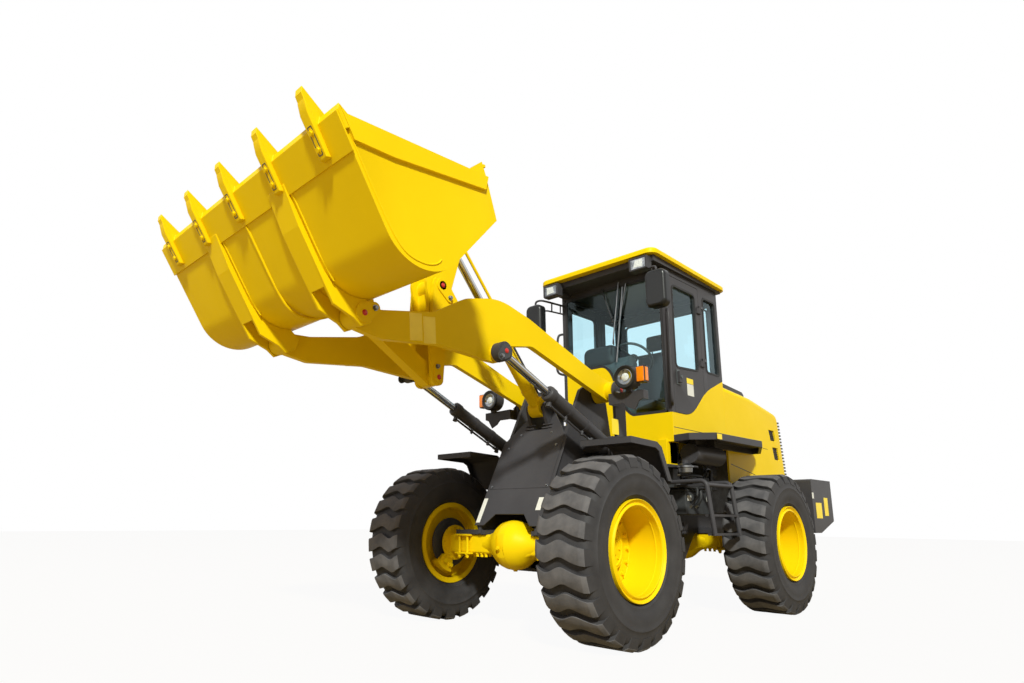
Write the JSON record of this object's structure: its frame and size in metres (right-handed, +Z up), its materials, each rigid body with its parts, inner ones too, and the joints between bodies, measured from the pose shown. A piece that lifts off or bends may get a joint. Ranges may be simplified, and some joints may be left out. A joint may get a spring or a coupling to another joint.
{
  "type": "wheel loader",
  "caption": "Articulated wheel loader with a raised toothed bucket on a Z-bar boom, enclosed cab, engine hood, rear counterweight and lugged tyres.",
  "frame": {"origin": "middle of the bounding box at ground level, under the tyres", "axes": "+X forward (bucket end), +Y to the left side, +Z up"},
  "size_m": [7.5388, 2.36, 3.4491],
  "materials": {
    "yellow_paint": "gloss",
    "black_paint": "satin",
    "tyre": "matt",
    "bare_steel": "brushed",
    "rod_chrome": "polished",
    "glass": "clear",
    "grey_plastic": "matt",
    "seat_cloth": "woven",
    "cast_grey": "as cast"
  },
  "bodies": {
    "rear": {"rear_frame": "yellow_paint", "counterweight": "black_paint", "hood": "yellow_paint", "engine": "cast_grey", "rear_shafts": "bare_steel", "rear_axle": "yellow_paint", "exhaust_box": "black_paint", "cab_base": "yellow_paint", "cab_frame": "black_paint", "cab_glass": "glass", "cab_roof": "yellow_paint", "seat": "seat_cloth", "seat_base": "black_paint", "console": "grey_plastic", "mirrors": "black_paint", "work_lamps": "black_paint", "platforms": "black_paint", "ladders": "black_paint", "tanks": "black_paint"},
    "front": {"front_frame": "yellow_paint", "tower_cover": "black_paint", "front_fenders": "black_paint", "front_lamps": "black_paint", "front_axle": "yellow_paint", "front_shaft": "bare_steel"},
    "boom": {"boom": "yellow_paint"},
    "crank": {"bell_crank": "yellow_paint"},
    "link": {"tilt_link": "yellow_paint"},
    "bucket": {"bucket_shell": "yellow_paint", "bucket_edge": "yellow_paint", "bucket_ears": "yellow_paint"},
    "tilt_barrel": {"tilt_barrel": "yellow_paint"},
    "tilt_rod": {"tilt_rod": "rod_chrome"},
    "grille_door": {"grille_door": "bare_steel"},
    "wheel_front_left": {"tyre_front_left": "tyre", "rim_front_left": "yellow_paint"},
    "wheel_front_right": {"tyre_front_right": "tyre", "rim_front_right": "yellow_paint"},
    "wheel_rear_left": {"tyre_rear_left": "tyre", "rim_rear_left": "yellow_paint"},
    "wheel_rear_right": {"tyre_rear_right": "tyre", "rim_rear_right": "yellow_paint"},
    "door_left": {"door_left": "black_paint", "door_glass_left": "glass"},
    "lift_barrel_left": {"lift_barrel_left": "black_paint"},
    "lift_rod_left": {"lift_rod_left": "rod_chrome"},
    "steer_barrel_left": {"steer_barrel_left": "black_paint"},
    "steer_rod_left": {"steer_rod_left": "rod_chrome"},
    "door_right": {"door_right": "black_paint", "door_glass_right": "glass"},
    "lift_barrel_right": {"lift_barrel_right": "black_paint"},
    "lift_rod_right": {"lift_rod_right": "rod_chrome"},
    "steer_barrel_right": {"steer_barrel_right": "black_paint"},
    "steer_rod_right": {"steer_rod_right": "rod_chrome"}
  },
  "joints": [
    {"name": "articulation", "type": "hinge", "parent": "rear", "child": "front", "pos_m": [-0.318, 0, 0.8], "axis": [0, 0, 1], "range_deg": [-35, 35]},
    {"name": "spin_front_left", "type": "hinge", "parent": "front", "child": "wheel_front_left", "pos_m": [1.062, 0.94, 0.666], "axis": [0, 1, 0], "continuous": true},
    {"name": "spin_front_right", "type": "hinge", "parent": "front", "child": "wheel_front_right", "pos_m": [1.062, -0.94, 0.666], "axis": [0, 1, 0], "continuous": true},
    {"name": "spin_rear_left", "type": "hinge", "parent": "rear", "child": "wheel_rear_left", "pos_m": [-1.698, 0.94, 0.666], "axis": [0, 1, 0], "continuous": true},
    {"name": "spin_rear_right", "type": "hinge", "parent": "rear", "child": "wheel_rear_right", "pos_m": [-1.698, -0.94, 0.666], "axis": [0, 1, 0], "continuous": true},
    {"name": "boom_lift", "type": "hinge", "parent": "front", "child": "boom", "pos_m": [0.302, 0, 1.98], "axis": [0, -1, 0], "range_deg": [-41, 40]},
    {"name": "bucket_tilt", "type": "hinge", "parent": "boom", "child": "bucket", "pos_m": [3.02, 0, 2.082], "axis": [0, 1, 0], "range_deg": [0, 100]},
    {"name": "crank_turn", "type": "hinge", "parent": "boom", "child": "crank", "pos_m": [2.017, 0, 2.62], "axis": [0, -1, 0], "range_deg": [-0.3, 49.8]},
    {"name": "link_turn", "type": "hinge", "parent": "crank", "child": "link", "pos_m": [2.022, 0, 1.907], "axis": [0, -1, 0], "range_deg": [-49.3, 0.3]},
    {"name": "lift_swing_left", "type": "hinge", "parent": "front", "child": "lift_barrel_left", "pos_m": [0.482, 0.525, 1.49], "axis": [0, -1, 0], "range_deg": [-40.48, 39.5]},
    {"name": "lift_stroke_left", "type": "slide", "parent": "lift_barrel_left", "child": "lift_rod_left", "axis": [0.9135, 0, 0.4067], "range_m": [-0.3501, 0.3416]},
    {"name": "lift_swing_right", "type": "hinge", "parent": "front", "child": "lift_barrel_right", "pos_m": [0.482, -0.525, 1.49], "axis": [0, -1, 0], "range_deg": [-40.48, 39.5]},
    {"name": "lift_stroke_right", "type": "slide", "parent": "lift_barrel_right", "child": "lift_rod_right", "axis": [0.9135, 0, 0.4067], "range_m": [-0.3501, 0.3416]},
    {"name": "tilt_swing", "type": "hinge", "parent": "front", "child": "tilt_barrel", "pos_m": [0.732, 0, 1.83], "axis": [0, -1, 0], "range_deg": [-44.99, 43.9]},
    {"name": "tilt_stroke", "type": "slide", "parent": "tilt_barrel", "child": "tilt_rod", "axis": [0.6598, 0, 0.7514], "range_m": [-0.2535, 0.2473]},
    {"name": "steer_swing_left", "type": "hinge", "parent": "rear", "child": "steer_barrel_left", "pos_m": [-0.938, 0.43, 0.8], "axis": [0, 0, 1], "range_deg": [-3.45, 3.45]},
    {"name": "steer_stroke_left", "type": "slide", "parent": "steer_barrel_left", "child": "steer_rod_left", "axis": [0.9849, -0.173, 0], "range_m": [-0.1985, 0.1985]},
    {"name": "door_hinge_left", "type": "hinge", "parent": "rear", "child": "door_left", "pos_m": [-1.178, 0.632, 2.6], "axis": [0, 0, 1], "range_deg": [0, 100]},
    {"name": "steer_swing_right", "type": "hinge", "parent": "rear", "child": "steer_barrel_right", "pos_m": [-0.938, -0.43, 0.8], "axis": [0, 0, 1], "range_deg": [-3.45, 3.45]},
    {"name": "steer_stroke_right", "type": "slide", "parent": "steer_barrel_right", "child": "steer_rod_right", "axis": [0.9849, 0.173, 0], "range_m": [-0.1985, 0.1985]},
    {"name": "door_hinge_right", "type": "hinge", "parent": "rear", "child": "door_right", "pos_m": [-1.178, -0.632, 2.6], "axis": [0, 0, -1], "range_deg": [0, 100]},
    {"name": "grille_hinge", "type": "hinge", "parent": "rear", "child": "grille_door", "pos_m": [-3.08075, 0.41, 1.73711], "axis": [-0.1522, 0, -0.9883], "range_deg": [0, 85]}
  ],
  "couplings": [
    {"joint": "crank_turn", "follows": "bucket_tilt", "ratio": 0.495},
    {"joint": "link_turn", "follows": "bucket_tilt", "ratio": -0.49},
    {"joint": "lift_swing_left", "follows": "boom_lift", "ratio": 0.98},
    {"joint": "lift_stroke_left", "follows": "boom_lift", "m_per_rad": 0.485},
    {"joint": "lift_swing_right", "follows": "boom_lift", "ratio": 0.98},
    {"joint": "lift_stroke_right", "follows": "boom_lift", "m_per_rad": 0.485},
    {"joint": "tilt_swing", "follows": "boom_lift", "ratio": 1.09},
    {"joint": "tilt_stroke", "follows": "boom_lift", "m_per_rad": 0.35},
    {"joint": "steer_swing_left", "follows": "articulation", "ratio": 0.09},
    {"joint": "steer_stroke_left", "follows": "articulation", "m_per_rad": -0.32},
    {"joint": "steer_swing_right", "follows": "articulation", "ratio": 0.09},
    {"joint": "steer_stroke_right", "follows": "articulation", "m_per_rad": 0.32}
  ]
}
